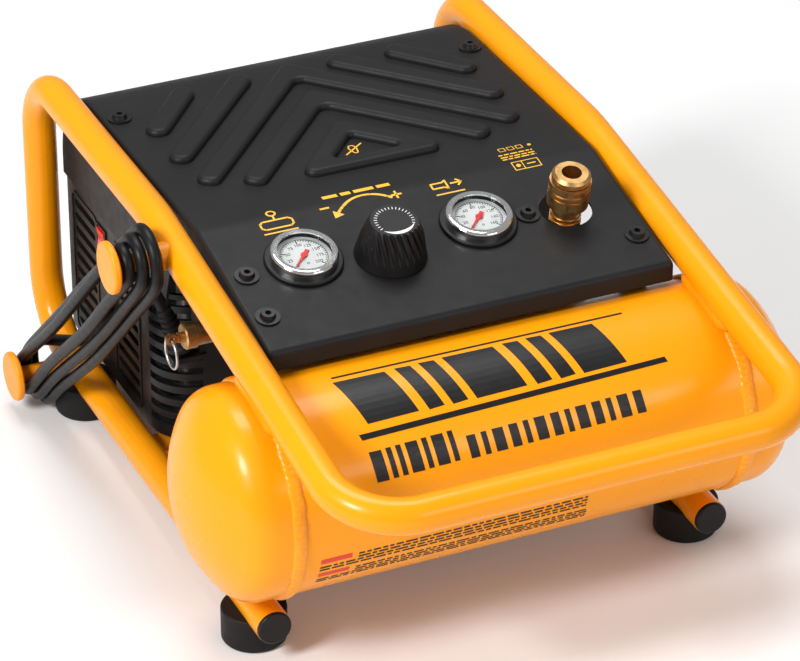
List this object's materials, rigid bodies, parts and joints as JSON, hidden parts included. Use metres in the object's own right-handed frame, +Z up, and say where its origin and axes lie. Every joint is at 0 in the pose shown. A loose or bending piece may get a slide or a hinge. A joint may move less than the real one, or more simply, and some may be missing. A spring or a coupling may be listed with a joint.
{
  "type": "portable air compressor",
  "caption": "Hand-carry electric air compressor: small horizontal tank welded across a bent-tube carry frame, with louvred pump shroud, gauge panel, regulator, coupler and wrapped mains lead.",
  "frame": {"origin": "centre of the bounding box's plan, at the underside of the rubber feet", "axes": "+Y from the carry bar at the front towards the rear of the frame, +X towards the outlet gauge side, +Z up"},
  "size_m": [0.361, 0.49, 0.2213],
  "materials": {
    "yellow_paint": "glossy",
    "black_paint": "fine texture",
    "black_plastic": "matte",
    "dark_grey_plastic": "satin",
    "orange_plastic": "satin",
    "red_plastic": "glossy",
    "white_dial": "matte",
    "chrome": "polished",
    "black_screw": "black oxide",
    "steel": "zinc plated",
    "brass": "machined",
    "aluminium": "cast",
    "cast_iron": "as cast",
    "rubber": "matte",
    "lens": "clear"
  },
  "bodies": {
    "frame": {"side_tube_left": "yellow_paint", "side_tube_right": "yellow_paint", "front_bar": "yellow_paint", "tank_shell": "yellow_paint", "tank_heads": "yellow_paint", "tank_welds": "yellow_paint", "frame_welds": "yellow_paint", "frame_brackets": "yellow_paint", "tube_plugs": "black_plastic", "rubber_feet": "rubber", "vibration_mounts": "rubber", "motor_tray": "steel", "top_cover": "black_paint", "cover_screws": "black_screw", "cover_brackets": "black_paint", "manifold": "aluminium", "gauge_cases": "black_paint", "gauge_surrounds": "black_plastic", "gauge_bezels": "chrome", "gauge_lenses": "lens", "gauge_dials": "white_dial", "regulator_body": "brass", "coupler_body": "brass", "crankcase": "aluminium", "motor_bracket": "aluminium", "bearings": "steel", "stator": "cast_iron", "cylinder": "aluminium", "valve_plate": "steel", "cylinder_head": "aluminium", "head_bolts": "steel", "intake_filter": "black_plastic", "check_valve": "brass", "discharge_tube": "aluminium", "tank_tee": "brass", "safety_valve_body": "brass", "pressure_switch": "black_plastic", "drain_valve_body": "brass", "shroud_left": "dark_grey_plastic", "shroud_right": "dark_grey_plastic", "cord_hooks": "orange_plastic", "strain_relief": "rubber", "cord_lead": "rubber", "cord_hank": "rubber", "plug": "rubber"},
    "regulator_knob": {"regulator_knob": "black_plastic"},
    "tank_needle": {"tank_gauge_needle": "red_plastic"},
    "outlet_needle": {"outlet_gauge_needle": "red_plastic"},
    "coupler_sleeve": {"coupler_sleeve": "brass"},
    "coupler_poppet": {"coupler_poppet": "brass"},
    "valve_stem": {"safety_valve_stem": "brass"},
    "valve_ring": {"safety_valve_ring": "steel"},
    "rocker": {"power_switch": "red_plastic"},
    "rotor": {"rotor": "steel", "crank_disc": "cast_iron", "fan": "black_plastic"},
    "piston": {"connecting_rod": "aluminium", "piston_cup": "black_plastic"},
    "drain_handle": {"drain_handle": "brass"}
  },
  "joints": [
    {"name": "regulator_turn", "type": "hinge", "parent": "frame", "child": "regulator_knob", "pos_m": [-0.027, -0.0385, 0.1895], "axis": [0, 0.2195, -0.9756], "range_deg": [0, 1080]},
    {"name": "tank_needle_sweep", "type": "hinge", "parent": "frame", "child": "tank_needle", "pos_m": [-0.0748, -0.0299, 0.1955], "axis": [0, 0.2195, -0.9756], "range_deg": [0, 270]},
    {"name": "outlet_needle_sweep", "type": "hinge", "parent": "frame", "child": "outlet_needle", "pos_m": [0.0306, -0.0299, 0.1955], "axis": [0, 0.2195, -0.9756], "range_deg": [0, 270]},
    {"name": "coupler_sleeve_push", "type": "slide", "parent": "frame", "child": "coupler_sleeve", "axis": [0, 0.2195, -0.9756], "range_m": [0, 0.005], "stiffness_N_per_m": 600, "springref_m": -0.004},
    {"name": "coupler_poppet_push", "type": "slide", "parent": "frame", "child": "coupler_poppet", "axis": [0, 0.2195, -0.9756], "range_m": [0, 0.004], "stiffness_N_per_m": 400, "springref_m": -0.003},
    {"name": "safety_valve_pull", "type": "slide", "parent": "frame", "child": "valve_stem", "axis": [-1, 0, 0], "range_m": [0, 0.0025], "stiffness_N_per_m": 2000, "springref_m": -0.002},
    {"name": "safety_ring_swing", "type": "hinge", "parent": "valve_stem", "child": "valve_ring", "pos_m": [-0.136, 0.018, 0.131], "axis": [0, 1, 0], "range_deg": [-20, 60]},
    {"name": "rocker_tilt", "type": "hinge", "parent": "frame", "child": "rocker", "pos_m": [-0.1172, 0.17, 0.112], "axis": [0, 1, 0], "range_deg": [0, 12]},
    {"name": "rotor_spin", "type": "hinge", "parent": "frame", "child": "rotor", "pos_m": [0, 0.15, 0.078], "axis": [1, 0, 0], "continuous": true},
    {"name": "piston_stroke", "type": "slide", "parent": "frame", "child": "piston", "axis": [0, 0, 1], "range_m": [-0.02, 0]},
    {"name": "drain_turn", "type": "hinge", "parent": "frame", "child": "drain_handle", "pos_m": [0, -0.0648, 0.03637], "axis": [0, -0.5, 0.866], "range_deg": [0, 360]}
  ]
}
